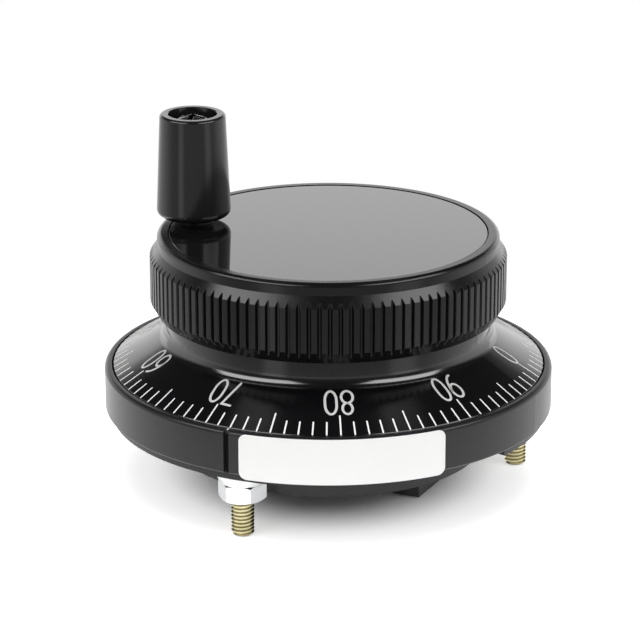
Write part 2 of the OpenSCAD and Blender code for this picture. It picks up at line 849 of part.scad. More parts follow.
// Countersunk screw head, flush with the click ring, grown by gap
module countersink(gap) {
    rotate_extrude() polygon([[0, ring_z - gap], [dial_head_r + gap, ring_z - gap],
                              [dial_screw_r + gap, ring_z + dial_head_h], [0, ring_z + dial_head_h]]);
}

module click_ball() {
    color("silver") at(click_r, click_angle) translate([0, 0, click_ball_z]) sphere(r = click_ball_r);
}

// Coil spring under the click ball: an eight-sided wire swept up a helix
module click_spring() {
    turns = 5;
    per_turn = 16;
    sides = 8;
    r = spring_wire / 2;
    coil_r = pocket_r - spring_wire / 2 - 0.1;
    rings = turns * per_turn;
    rise = (spring_h - spring_wire) / rings;
    points = [for (i = [0:rings], k = [0:sides - 1])
        let (a = i * 360 / per_turn, b = k * 360 / sides, x = coil_r + r * cos(b))
            [x * cos(a), x * sin(a), spring_z + r + i * rise + r * sin(b)]];
    walls = [for (i = [0:rings - 1], k = [0:sides - 1]) let (m = (k + 1) % sides)
        each [[i * sides + k, i * sides + m, (i + 1) * sides + k],
              [i * sides + m, (i + 1) * sides + m, (i + 1) * sides + k]]];
    ends = [[for (k = [sides - 1:-1:0]) k], [for (k = [0:sides - 1]) rings * sides + k]];
    color("#8a8d92") at(click_r, click_angle) polyhedron(points, concat(walls, ends));
}

module click_plug() {
    color("#2a2a2c") at(click_r, click_angle) difference() {
        bar(plug_r, click_post_z, spring_z);
        translate([0, 0, click_post_z - past]) cylinder(r = plug_r / 2, h = past + plug_h / 2, $fn = 6);
    }
}

// Star-shaped section of the knurl: a groove with sloping sides and a flat crest for each pitch
module knurl_section() {
    pitch = 360 / knurl_count;
    mouth = pitch * knurl_mouth / 2;
    floor_half = pitch * knurl_floor / 2;
    crest = knurl_r + loose_gap;
    floor_r = knurl_r - knurl_depth;
    polygon([for (i = [0:knurl_count - 1]) let (a = index_angle + i * pitch)
        each [for (p = [[crest, a - pitch + mouth], [crest, a - mouth],
                        [floor_r, a - floor_half], [floor_r, a + floor_half]])
            [p.x * cos(p.y), p.x * sin(p.y)]]]);
}

module handwheel() {
    band = [[0, band_z], [crown_r + 0.1, band_z], [knurl_r, crest_z], [knurl_r, crest_end],
            [crown_r, crown_z], [0, crown_z]];
    crown = concat([[0, crown_z - eps], [crown_r, crown_z - eps]],
                   arc(crown_r - crown_round, wheel_top - crown_round, crown_round, 0, 90),
                   [[0, wheel_top]]);
    color("#202023") difference() {
        union() {
            intersection() {
                translate([0, 0, band_z]) linear_extrude(crown_z - band_z) knurl_section();
                rotate_extrude() polygon(band);
            }
            rotate_extrude() polygon(crown);
            bar(spigot_r, cone_top - 0.2, band_z + eps);
        }
        difference() {
            bar(wheel_bore_r, cone_top - past, web_z);
            bar(hub_r, hub_z, web_z + past);
            at(crank_r, crank_angle) bar(crank_post_r, crank_thread_z - 1, web_z + past);
        }
        bar(disc_r + disc_gap, disc_seat, wheel_top + past);
        bar(wheel_washer_r + 0.2, wheel_seat, disc_seat + past);
        translate([0, 0, hub_z - past]) linear_extrude(wheel_seat - hub_z + 2 * past) drive_section(fit_gap);
        at(crank_r, crank_angle) bar(crank_thread_r + thread_gap, crank_thread_z, disc_seat + past);
        for (a = dial_screw_angles) at(dial_screw_at, a)
            bar(dial_screw_r + thread_gap, cone_top - past, dial_screw_top + 0.5);
    }
}

module dial() {
    flange_top = cone_top - 0.2;
    flange_in_r = wheel_bore_r - 0.6;
    slope = cone_h / (dial_r - neck_r);
    fillet_z = cone_top + neck_fillet * (sqrt(1 + slope * slope) - slope);
    edge_w = 1.3;
    edge_break = 0.08;
    outline = concat([[dial_r - edge_w, rim_top - dial_edge_h], [dial_r, rim_top - dial_edge_h],
                      [dial_r, rim_top - edge_break], [dial_r - edge_break, rim_top + slope * edge_break]],
                     arc(neck_r + neck_fillet, fillet_z, neck_fillet, 270 - atan(slope), 180),
                     [[neck_r, band_z - fit_gap], [spigot_r + fit_gap, band_z - fit_gap],
                      [spigot_r + fit_gap, flange_top], [flange_in_r, flange_top],
                      [flange_in_r, ring_top], [neck_r - fit_gap, ring_top]]);
    color("#0e0e10") difference() {
        rotate_extrude() polygon(outline);
        for (a = dial_screw_angles) at(dial_screw_at, a)
            bar(dial_screw_r + loose_gap, ring_top - past, flange_top + past);
    }
}

module dial_screws() {
    color("silver") for (a = dial_screw_angles) at(dial_screw_at, a) difference() {
        union() {
            countersink(0);
            bar(dial_screw_r, ring_z + dial_head_h - eps, dial_screw_top);
        }
        mirror([0, 0, 1]) cross_slot(dial_head_r, -ring_z, dial_head_h / 2);
    }
}

module wheel_washer() {
    color("silver") ring(wheel_screw_r + loose_gap, wheel_washer_r, wheel_seat, wheel_seat + wheel_washer_t);
}

module wheel_screw() {
    head_z = wheel_seat + wheel_washer_t;
    color("#2a2a2c") difference() {
        union() {
            bar(wheel_head_r, head_z, head_z + wheel_head_h);
            bar(wheel_screw_r, wheel_seat - wheel_screw_l, head_z + eps);
        }
        cross_slot(wheel_head_r, head_z + wheel_head_h, wheel_head_h / 2);
    }
}

module top_disc() {
    bevel = 0.12;
    color("#0a0a0c") difference() {
        rotate_extrude() polygon([[0, disc_seat], [disc_r, disc_seat], [disc_r, disc_top - bevel],
                                  [disc_r - bevel, disc_top], [0, disc_top]]);
        at(crank_r, crank_angle) bar(crank_thread_r + loose_gap, disc_seat - past, disc_top + past);
    }
}

module grip() {
    mouth_break = 0.08;
    outline = concat([[grip_bore_r, grip_z]],
                     arc(grip_r - foot_round, grip_z + foot_round, foot_round, 270, 360),
                     arc(grip_top_r - grip_round, grip_top - grip_round, grip_round, 0, 90),
                     [[grip_recess_r + mouth_break, grip_top], [grip_recess_r, grip_top - mouth_break],
                      [grip_recess_r, grip_floor], [grip_bore_r, grip_floor]]);
    color("#0c0c0e") at(crank_r, crank_angle) rotate_extrude() polygon(outline);
}

module grip_spindle() {
    head_z = grip_floor + 0.1;
    head_top = grip_top - spindle_head_drop;
    dome_r = (spindle_head_r * spindle_head_r + spindle_dome_h * spindle_dome_h) / (2 * spindle_dome_h);
    dome_half = asin(spindle_head_r / dome_r);
    color("#4a4b4e") at(crank_r, crank_angle) difference() {
        union() {
            bar(crank_thread_r, crank_thread_z + 0.5, spacer_top);
            bar(journal_r, spacer_top, head_z + eps);
            rotate_extrude() polygon(concat([[0, head_z], [spindle_head_r, head_z]],
                arc(0, head_top - dome_r, dome_r, 90 - dome_half, 90)));
        }
        cross_slot(spindle_head_r * 1.25, head_top, spindle_dome_h + 0.5);
    }
}

module grip_washer() {
    color("#1a1a1c") at(crank_r, crank_angle)
        ring(crank_thread_r + running_gap, spacer_r, disc_top, spacer_top);
}

flange_housing();
label();
mounting_studs();
lock_washers();
stud_nuts();
rear_cover();
cover_screws();
terminal_block();
terminal_lugs();
terminal_screws();
circuit_board();
optical_sensor();
sensor_leads();
line_driver_chip();
board_capacitors();
front_bearing_outer();
front_bearing_inner();
front_bearing_balls();
front_bearing_cage();
rear_bearing_outer();
rear_bearing_inner();
rear_bearing_balls();
rear_bearing_cage();
shaft();
preload_washer();
shaft_circlip();
code_disc();
disc_hub();
hub_screw();
click_ring();
click_ball();
click_spring();
click_plug();
handwheel();
dial();
dial_screws();
wheel_washer();
wheel_screw();
top_disc();
grip();
grip_spindle();
grip_washer();
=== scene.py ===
"""Looks of a panel-mounted handwheel pulse generator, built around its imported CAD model."""

import json
import math

import bmesh
import bpy
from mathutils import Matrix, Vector
from mathutils.bvhtree import BVHTree


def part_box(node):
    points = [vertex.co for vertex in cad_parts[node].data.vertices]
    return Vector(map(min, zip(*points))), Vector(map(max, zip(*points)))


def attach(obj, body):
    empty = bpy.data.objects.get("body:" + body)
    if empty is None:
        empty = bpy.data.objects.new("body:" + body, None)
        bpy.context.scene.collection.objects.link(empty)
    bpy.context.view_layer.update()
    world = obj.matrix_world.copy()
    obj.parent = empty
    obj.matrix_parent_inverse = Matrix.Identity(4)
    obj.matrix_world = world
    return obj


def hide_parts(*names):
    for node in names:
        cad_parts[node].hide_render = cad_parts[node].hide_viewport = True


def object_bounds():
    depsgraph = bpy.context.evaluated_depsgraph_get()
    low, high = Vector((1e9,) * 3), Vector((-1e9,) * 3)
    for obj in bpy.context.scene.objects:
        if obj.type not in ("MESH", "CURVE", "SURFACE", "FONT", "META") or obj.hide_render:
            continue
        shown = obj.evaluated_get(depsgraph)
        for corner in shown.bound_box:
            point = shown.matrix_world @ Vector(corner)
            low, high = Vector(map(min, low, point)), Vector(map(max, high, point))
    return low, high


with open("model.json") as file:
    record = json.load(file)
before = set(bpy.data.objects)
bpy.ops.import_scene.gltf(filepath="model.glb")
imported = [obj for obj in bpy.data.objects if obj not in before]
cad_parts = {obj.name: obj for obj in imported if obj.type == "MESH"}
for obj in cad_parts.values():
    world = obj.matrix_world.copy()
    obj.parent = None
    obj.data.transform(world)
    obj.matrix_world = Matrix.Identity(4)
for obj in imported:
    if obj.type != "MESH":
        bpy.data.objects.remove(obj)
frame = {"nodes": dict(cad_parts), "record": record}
cad_box = [list(corner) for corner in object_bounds()]

MM = 0.001

# ---------------------------------------------------------------- sizes and places from the frame

# The rim's flat top is this far above the label's upper edge
LABEL_TO_RIM = 0.1 * MM
RIM_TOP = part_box("label")[1].z + LABEL_TO_RIM
RIM_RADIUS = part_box("flange_housing")[1].x
DIAL_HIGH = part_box("dial")[1]
DIAL_RADIUS = DIAL_HIGH.x
PART_LOW = cad_box[0][2]
MOUNTS = {mount["name"]: mount for mount in frame["record"]["mounts"]}
STUD_CIRCLE = MOUNTS["studs"]["dims"]["pcd_mm"] / 2 * MM
STUD_RADIUS = MOUNTS["studs"]["dims"]["stud_r_mm"] * MM
INDEX_ANGLE = math.radians(-90)
STUD_ANGLES = [INDEX_ANGLE + math.radians(120) * i for i in range(3)]


def direction(angle):
    """Unit vector in the panel's plane at an angle."""
    return Vector((math.cos(angle), math.sin(angle), 0))


# ---------------------------------------------------------------- camera

VIEW_AZIMUTH = math.radians(25.6)
VIEW_ELEVATION = math.radians(19.7)
VIEW_DISTANCE = 422.3 * MM
VIEW_LENS = 176.7
VIEW_SHIFT = (-0.013, 0.0603)
VIEW_CLIP = (0.01, 20)


def towards(turn, height):
    """Unit vector at a turn from the camera's side, positive to its right, and a height angle.

    Both are in radians.
    """
    across = direction(VIEW_AZIMUTH + turn + INDEX_ANGLE)
    return across * math.cos(height) + Vector((0, 0, math.sin(height)))


def make_camera():
    """The camera at the photograph's angle, aimed at the axis at the rim's height."""
    data = bpy.data.cameras.new("camera")
    data.lens = VIEW_LENS
    data.shift_x, data.shift_y = VIEW_SHIFT
    data.clip_start, data.clip_end = VIEW_CLIP
    camera = bpy.data.objects.new("camera", data)
    bpy.context.scene.collection.objects.link(camera)
    back = towards(0, VIEW_ELEVATION)
    camera.location = back * VIEW_DISTANCE + Vector((0, 0, RIM_TOP))
    camera.rotation_euler = back.to_track_quat("Z", "Y").to_euler()
    bpy.context.scene.camera = camera


make_camera()

# ---------------------------------------------------------------- shader nodes


def feed(tree, socket, value):
    """Give an input socket a value, or link it to the output socket that is given."""
    if isinstance(value, bpy.types.NodeSocket):
        tree.links.new(value, socket)
    else:
        socket.default_value = value


def add_node(tree, kind, inputs, output=0, **settings):
    """Add a shader node, with its settings and its inputs by name or number. Gives one output."""
    made = tree.nodes.new("ShaderNode" + kind)
    for name, value in settings.items():
        setattr(made, name, value)
    for label, value in inputs.items():
        feed(tree, made.inputs[label], value)
    return made.outputs[output]


def ramp(tree, source, start, stop, low, high):
    """A smooth step from low at start to high at stop."""
    ends = {"Value": source, "From Min": start, "From Max": stop, "To Min": low, "To Max": high}
    return add_node(tree, "MapRange", ends, "Result", interpolation_type="SMOOTHSTEP")


def blend(tree, share, first, second):
    """Mix of two values, each a number or a socket."""
    return add_node(tree, "Mix", {"Factor": share, "A": first, "B": second}, "Result")


def larger(tree, first, second):
    """The larger of two values."""
    return add_node(tree, "Math", {0: first, 1: second}, "Value", operation="MAXIMUM")


# ---------------------------------------------------------------- finishes

# Each CAD node by the record's material slot it was packed with
SLOT_NODES = {}
for node in frame["nodes"].values():
    SLOT_NODES.setdefault(node.material_slots[0].material.name, []).append(node)
for imported in list(bpy.data.materials):
    imported.name = "packed_" + imported.name

GRAIN_DETAIL = 3
PATCH_DETAIL = 4
# Samples of the painted shade that darkens colours in crevices
PAINTED_SHADE_SAMPLES = 8
EDGE_SAMPLES = 6
# The sum of the grain's and the patches' noise lies mostly between these
NOISE_LOW, NOISE_HIGH = 0.6, 1.4


def patchy_colour(tree, patches, colour, other, painted_shade_reach):
    """Colour drifting to another in slow patches, with painted shade where walls are nearer than crevice."""
    ends = {"A": (*colour, 1), "B": (*other, 1), "Factor": patches}
    mixed = add_node(tree, "Mix", ends, "Result", data_type="RGBA")
    if not painted_shade_reach:
        return mixed
    reach = {"Color": mixed, "Distance": painted_shade_reach}
    return add_node(tree, "AmbientOcclusion", reach, "Color", samples=PAINTED_SHADE_SAMPLES)


def uneven_roughness(tree, grain, patches, roughness, spread):
    """Roughness that varies by a share of itself with the grain and the patches."""
    both = add_node(tree, "Math", {0: grain, 1: patches}, "Value", operation="ADD")
    ends = {"Value": both, "From Min": NOISE_LOW, "From Max": NOISE_HIGH,
            "To Min": roughness * (1 - spread), "To Max": roughness * (1 + spread)}
    return add_node(tree, "MapRange", ends, "Result")


def worked_normal(tree, grain, depth, edge):
    """Normal with softened edges and the grain's bumps, or None for the mesh's own."""
    normal = None
    if edge:
        normal = add_node(tree, "Bevel", {"Radius": edge}, "Normal", samples=EDGE_SAMPLES)
    if depth:
        under = {"Normal": normal} if normal else {}
        normal = add_node(tree, "Bump", {"Distance": depth, "Height": grain, **under}, "Normal")
    return normal


def finish(name, colour, roughness, metallic=0.0, ior=1.5, grain=0.3 * MM, depth=0.0, spread=0.1,
           tint=None, patch=9 * MM, patchiness=0.25, edge=0.0, painted_shade_reach=0.0):
    """A procedural finish.

    grain and depth are the size and height of its fine grain, and spread is the share by which its
    roughness varies. patch is the size of its slow patches. Their colour is tint, or the finish's
    own made brighter by the share patchiness. edge is the radius of softened edges, and crevice the
    reach of painted shade that darkens the colour in crevices. Lengths are in metres.
    """
    made = bpy.data.materials.new(name)
    made.use_nodes = True
    tree = made.node_tree
    shader = tree.nodes["Principled BSDF"]
    shader.inputs["Metallic"].default_value = metallic
    shader.inputs["IOR"].default_value = ior
    place = add_node(tree, "TexCoord", {}, "Object")
    fine = add_node(tree, "TexNoise", {"Vector": place, "Scale": 1 / grain, "Detail": GRAIN_DETAIL}, "Fac")
    slow = add_node(tree, "TexNoise", {"Vector": place, "Scale": 1 / patch, "Detail": PATCH_DETAIL}, "Fac")
    other = tint or [c * (1 + patchiness) for c in colour]
    feed(tree, shader.inputs["Base Color"], patchy_colour(tree, slow, colour, other, painted_shade_reach))
    feed(tree, shader.inputs["Roughness"], uneven_roughness(tree, fine, slow, roughness, spread))
    normal = worked_normal(tree, fine, depth, edge)
    if normal:
        feed(tree, shader.inputs["Normal"], normal)
    return made


FINISHES = {
    made.name: made
    for made in [
        finish("housing_black", (0.009, 0.009, 0.010), 0.3, ior=1.4, grain=0.35 * MM, depth=0.003 * MM,
               edge=0.12 * MM),
        finish("label_white", (0.90, 0.90, 0.89), 0.32, grain=0.8 * MM, depth=0.001 * MM,
               patchiness=-0.03, edge=0.04 * MM),
        # Painted shade darkens the studs' colour in the thread's grooves
        finish("stud_zinc", (0.98, 0.84, 0.60), 0.13, metallic=1, tint=(0.54, 0.56, 0.29),
               patch=0.6 * MM, grain=0.15 * MM, depth=0.001 * MM, painted_shade_reach=0.45 * MM),
        # Painted shade darkens this colour in the gaps between nuts and washers
        finish("bright_zinc", (0.80, 0.81, 0.82), 0.2, metallic=1, depth=0.001 * MM,
               patch=2 * MM, patchiness=-0.08, edge=0.06 * MM, painted_shade_reach=0.9 * MM),
        finish("cover_black", (0.016, 0.016, 0.017), 0.5, grain=0.25 * MM, depth=0.006 * MM,
               edge=0.12 * MM),
        finish("block_black", (0.022, 0.022, 0.023), 0.42, grain=0.4 * MM, depth=0.004 * MM,
               edge=0.1 * MM),
        finish("contact_brass", (0.78, 0.57, 0.25), 0.28, metallic=1, grain=0.2 * MM, depth=0.001 * MM,
               patch=2 * MM, patchiness=-0.15, edge=0.05 * MM),
        finish("board_green", (0.01, 0.12, 0.05), 0.3, grain=0.4 * MM, depth=0.002 * MM, patch=3 * MM),
        finish("capacitor_tan", (0.42, 0.27, 0.15), 0.45, grain=0.2 * MM, depth=0.002 * MM),
        finish("bearing_steel", (0.62, 0.63, 0.65), 0.14, metallic=1, grain=0.2 * MM),
        finish("black_steel", (0.045, 0.045, 0.05), 0.35, metallic=1, grain=0.2 * MM, depth=0.001 * MM),
        finish("disc_steel", (0.55, 0.56, 0.58), 0.25, metallic=1, grain=0.2 * MM),
        finish("hub_aluminium", (0.76, 0.77, 0.78), 0.3, metallic=1, grain=0.2 * MM),
        finish("wheel_black", (0.0035, 0.0035, 0.004), 0.21, ior=1.43, edge=0.05 * MM),
        finish("dial_black", (0.0025, 0.0025, 0.003), 0.14, grain=0.5 * MM, spread=0.15, edge=0.08 * MM),
        finish("fillet_black", (0.003, 0.003, 0.0035), 0.13, ior=1.75, grain=0.5 * MM, spread=0.15),
        finish("disc_gloss_black", (0.004, 0.004, 0.004), 0.02, ior=1.8, grain=1.5 * MM, spread=0.3,
               edge=0.05 * MM),
        finish("grip_gloss_black", (0.008, 0.008, 0.0085), 0.16, grain=0.4 * MM, depth=0.0006 * MM,
               spread=0.2, edge=0.06 * MM),
        finish("spindle_steel", (0.16, 0.16, 0.165), 0.14, metallic=1, depth=0.0008 * MM,
               edge=0.08 * MM),
        finish("dial_print", (0.86, 0.86, 0.85), 0.5, grain=0.12 * MM, patch=1.5 * MM, patchiness=-0.12),
        finish("numeral_print", (0.60, 0.60, 0.59), 0.5, grain=0.12 * MM, patch=0.8 * MM,
               patchiness=-0.2),
        # Painted shade for the floor of the index groove
        finish("groove_painted_shade", (0.002, 0.002, 0.002), 0.6, ior=1.2, depth=0.002 * MM),
    ]
}

for slot, slot_nodes in SLOT_NODES.items():
    for node in slot_nodes:
        for holder in node.material_slots:
            holder.material = FINISHES[slot]

# ---------------------------------------------------------------- mesh building

# Points nearer to each other than this, in metres, become one
WELD = 1e-7


def add_grid(solid, rows, close_rows=False, close_points=False):
    """Add rows of points to a solid, each row joined to the next by four-sided faces."""
    first, wide = len(solid["points"]), len(rows[0])
    solid["points"] += [point for row in rows for point in row]
    for i in range(len(rows) if close_rows else len(rows) - 1):
        j = (i + 1) % len(rows)
        for k in range(wide if close_points else wide - 1):
            m = (k + 1) % wide
            corners = ((i, k), (j, k), (j, m), (i, m))
            solid["faces"].append([first + row * wide + point for row, point in corners])


def turned(outline, sides, centre):
    """Rows of points of an outline of (radius, height) pairs, turned about an upright axis."""
    rows = []
    for i in range(sides):
        out = direction(2 * math.pi * i / sides)
        rows.append([centre + out * radius + Vector((0, 0, z)) for radius, z in outline])
    return rows


def arc(cx, cy, rx, ry, start, stop, steps=14):
    """Points of an ellipse's arc, from start to stop in degrees."""
    turns = [math.radians(start + (stop - start) * i / steps) for i in range(steps + 1)]
    return [Vector((cx + rx * math.cos(t), cy + ry * math.sin(t))) for t in turns]


def make_piece(name, solid, material, body, crease=None):
    """A mesh piece from a solid's points and faces, shaded smooth up to the crease angle."""
    mesh = bpy.data.meshes.new(name)
    mesh.from_pydata(solid["points"], [], solid["faces"])
    work = bmesh.new()
    work.from_mesh(mesh)
    bmesh.ops.remove_doubles(work, verts=work.verts, dist=WELD)
    bmesh.ops.dissolve_degenerate(work, edges=work.edges, dist=WELD)
    bmesh.ops.recalc_face_normals(work, faces=work.faces)
    work.to_mesh(mesh)
    work.free()
    if crease:
        mesh.polygons.foreach_set("use_smooth", [True] * len(mesh.polygons))
        mesh.set_sharp_from_angle(angle=crease)
    mesh.materials.append(material)
    made = bpy.data.objects.new(name, mesh)
    bpy.context.scene.collection.objects.link(made)
    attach(made, body)
    return made


# ---------------------------------------------------------------- the dial's cone

DIAL_TREE = BVHTree.FromPolygons(
    [v.co for v in frame["nodes"]["dial"].data.vertices],
    [p.vertices for p in frame["nodes"]["dial"].data.polygons],
)
TICK_OUTER = DIAL_RADIUS - 0.05 * MM
NUMERAL_FOOT = 22.5 * MM
# The cone's slope is measured this far inside the band that carries the print
CONE_MARGIN = 1 * MM


def on_dial(angle, x, y, level):
    """Point on the dial's cone, x along the rim and y out from the axis at an angle, raised by level."""
    out = direction(angle)
    right = direction(angle - math.pi / 2)
    plan = out * y + right * x
    hit, normal, _, _ = DIAL_TREE.ray_cast(Vector((plan.x, plan.y, DIAL_HIGH.z)), Vector((0, 0, -1)))
    return hit + normal * level


CONE_INNER = on_dial(0, 0, NUMERAL_FOOT + CONE_MARGIN, 0)
CONE_OUTER = on_dial(0, 0, TICK_OUTER - CONE_MARGIN, 0)
CONE_TILT = math.atan2(CONE_INNER.z - CONE_OUTER.z, CONE_OUTER.x - CONE_INNER.x)

# ---------------------------------------------------------------- print

# The print's top lies this far above its surface, and its underside as far below
PRINT_LIFT = 0.02 * MM
PRINT_WIDTH = 0.2 * MM
CAP_STEPS = 5
# At a sharp bend a line's edge stands out by no more than its half-width over this
BEND_LIMIT = 0.5
GRADUATIONS = 100
# The graduation that stands at the index
READING = 72
TICK_SHORT = 1.87 * MM
TICK_LONG = 2.79 * MM
LONG_EVERY = 5
NUMERAL_EVERY = 10
NUMERAL_HEIGHT = 4.07 * MM
DIGIT_WIDTH = 1.8 * MM
DIGIT_GAP = 0.3 * MM
STROKE = 0.33 * MM
INDEX_INNER = DIAL_RADIUS + 0.27 * MM
INDEX_OUTER = DIAL_RADIUS + 0.75 * MM
GROOVE_DEPTH = 0.4 * MM
GROOVE_WIDTH = 0.68 * MM
GROOVE_LOW = 1.05 * MM
GROOVE_HIGH = RIM_TOP - 0.5 * MM


def line_edges(centre, half, closed):
    """The two edges of a line, half its width to each side of its centre points."""
    count = len(centre)
    left, right = [], []
    for i, point in enumerate(centre):
        ways = []
        if i or closed:
            ways.append((point - centre[i - 1]).normalized())
        if i < count - 1 or closed:
            ways.append((centre[(i + 1) % count] - point).normalized())
        mean = sum(ways, Vector((0, 0))).normalized()
        reach = half / max(mean.dot(ways[0]), BEND_LIMIT)
        across = Vector((-mean.y, mean.x)) * reach
        left.append(point + across)
        right.append(point - across)
    return left, right


def round_cap(end, side):
    """Points between the two corners of a line's end that round it off, from side's corner on."""
    arm = side - end
    points = []
    for k in range(1, CAP_STEPS):
        turn = -math.pi * k / CAP_STEPS
        x = arm.x * math.cos(turn) - arm.y * math.sin(turn)
        y = arm.x * math.sin(turn) + arm.y * math.cos(turn)
        points.append(Vector((end.x + x, end.y + y)))
    return points


def lay_line(solid, centre, width, place, closed=False):
    """Add a thin line of that width along the centre points, with round ends where it is open.

    place(x, y, level) puts each of its points down.
    """
    count = len(centre)
    left, right = line_edges(centre, width / 2, closed)
    outline = left + right
    faces = [[i, (i + 1) % count, count + (i + 1) % count, count + i]
             for i in range(count if closed else count - 1)]
    if closed:
        loops = [list(range(count)), list(range(count, 2 * count))]
    else:
        outline += round_cap(centre[-1], left[-1]) + round_cap(centre[0], right[0])
        caps = list(range(2 * count, len(outline)))
        cap_end, cap_start = caps[:CAP_STEPS - 1], caps[CAP_STEPS - 1:]
        faces.append([count - 1] + cap_end + [2 * count - 1])
        faces.append([count] + cap_start + [0])
        loops = [list(range(count)) + cap_end + list(range(2 * count - 1, count - 1, -1)) + cap_start]
    first, size = len(solid["points"]), len(outline)
    for level in (PRINT_LIFT, -PRINT_LIFT):
        solid["points"] += [place(p.x, p.y, level) for p in outline]
    under = [[i + size for i in reversed(face)] for face in faces]
    walls = [[a, b, b + size, a + size] for loop in loops for a, b in zip(loop, loop[1:] + loop[:1])]
    solid["faces"] += [[i + first for i in face] for face in faces + under + walls]


def digit_strokes(digit):
    """Centre lines of a plain single-stroke digit, as (points, closed), with its foot at y = 0."""
    w = (DIGIT_WIDTH - STROKE) / 2
    h = NUMERAL_HEIGHT - STROKE

    def path(*pairs):
        return [Vector((x * w, y * h)) for x, y in pairs]

    def oval(cy, rx, ry):
        return arc(0, cy * h, rx * w, ry * h, 90, 450, 32)[:-1]

    def zero():
        bow = 0.4 * h
        upper = arc(0, h - bow, w, bow, 180, 0, 16)
        return upper + [Vector((0, h)) - p for p in upper]

    def six(flip):
        tail = arc(0.8 * w, 0.3 * h, 1.8 * w, 0.7 * h, 96, 180)
        bowl = arc(0, 0.3 * h, w, 0.3 * h, 180, 540, 28)[1:]
        return [Vector((0, h)) - p if flip else p for p in tail + bowl]

    return {
        "0": [(zero(), True)],
        "1": [(path((-0.55, 0.78), (0.15, 1), (0.15, 0)), False)],
        "2": [(arc(0, 0.74 * h, w, 0.26 * h, 165, -30) + path((-1, 0), (1, 0)), False)],
        "3": [(arc(0, 0.76 * h, 0.9 * w, 0.24 * h, 150, -90) + arc(0, 0.26 * h, w, 0.26 * h, 90, -155)[1:],
               False)],
        "4": [(path((0.35, 0), (0.35, 1), (-1, 0.28), (1, 0.28)), False)],
        "5": [(path((0.85, 1), (-0.75, 1), (-0.9, 0.56)) + arc(0, 0.31 * h, w, 0.31 * h, 125, -150), False)],
        "6": [(six(False), False)],
        "7": [(path((-0.95, 1), (0.85, 1), (-0.35, 0)), False)],
        "8": [(oval(0.76, 0.86, 0.24), True), (oval(0.26, 1, 0.26), True)],
        "9": [(six(True), False)],
    }[digit]


def straight(inner, outer, width):
    """Centre line of a straight line whose round ends reach from inner to outer."""
    return [Vector((0, inner + width / 2)), Vector((0, outer - width / 2))]


def add_graduation(ticks, mark, angle):
    """One graduation, longer at every fifth."""
    length = TICK_SHORT if mark % LONG_EVERY else TICK_LONG
    ends = straight(TICK_OUTER - length, TICK_OUTER, PRINT_WIDTH)
    lay_line(ticks, ends, PRINT_WIDTH, lambda x, y, level: on_dial(angle, x, y, level))


def add_numeral(numerals, text, angle):
    """A graduation's number, centred on it, with its foot nearest to the axis."""

    def on_cone(x, y, level):
        return on_dial(angle, x, NUMERAL_FOOT + (y + STROKE / 2) * math.cos(CONE_TILT), level)

    step = DIGIT_WIDTH + DIGIT_GAP
    for i, digit in enumerate(text):
        middle = Vector(((i - (len(text) - 1) / 2) * step, 0))
        for centre, closed in digit_strokes(digit):
            lay_line(numerals, [middle + p for p in centre], STROKE, on_cone, closed)


def print_dial():
    """White graduations and numerals on the cone. The numerals' tops face out."""
    ticks = {"points": [], "faces": []}
    numerals = {"points": [], "faces": []}
    for mark in range(GRADUATIONS):
        angle = INDEX_ANGLE + (mark - READING) * 2 * math.pi / GRADUATIONS
        add_graduation(ticks, mark, angle)
        if mark % NUMERAL_EVERY == 0:
            add_numeral(numerals, str(mark), angle)
    make_piece("dial_graduations", ticks, FINISHES["dial_print"], "wheel")
    make_piece("dial_numerals", numerals, FINISHES["numeral_print"], "wheel")


def print_index():
    """The index: a short white line across the rim's flat top, opposite the graduations."""
    out, right = direction(INDEX_ANGLE), direction(INDEX_ANGLE - math.pi / 2)

    def on_rim(x, y, level):
        return out * y + right * x + Vector((0, 0, RIM_TOP + level))

    line = {"points": [], "faces": []}
    lay_line(line, straight(INDEX_INNER, INDEX_OUTER, PRINT_WIDTH), PRINT_WIDTH, on_rim)
    make_piece("index_line", line, FINISHES["dial_print"], "housing")


def paint_groove():
    """Painted shade: a black sheet on the floor of the index groove, standing in for the shade inside it."""
    out, right = direction(INDEX_ANGLE), direction(INDEX_ANGLE - math.pi / 2)

    def in_groove(x, y, level):
        return out * (RIM_RADIUS - GROOVE_DEPTH + level) + right * x + Vector((0, 0, y))

    band = {"points": [], "faces": []}
    lay_line(band, straight(GROOVE_LOW, GROOVE_HIGH, GROOVE_WIDTH), GROOVE_WIDTH, in_groove)
    make_piece("index_groove_painted_shade", band, FINISHES["groove_painted_shade"], "housing")


print_dial()
print_index()
paint_groove()

# ---------------------------------------------------------------- fillet between cone and neck

FILLET_RADIUS = 1.8 * MM
FILLET_STEPS = 12
FILLET_SIDES = 240
FILLET_CREASE = math.radians(30)
# The fillet's face lies this far in front of the CAD model's, and its back this far behind
FILLET_LIFT = 0.004 * MM
FILLET_SEAT = 0.02 * MM
# The neck's radius is measured this far under its top
NECK_MARGIN = 0.5 * MM


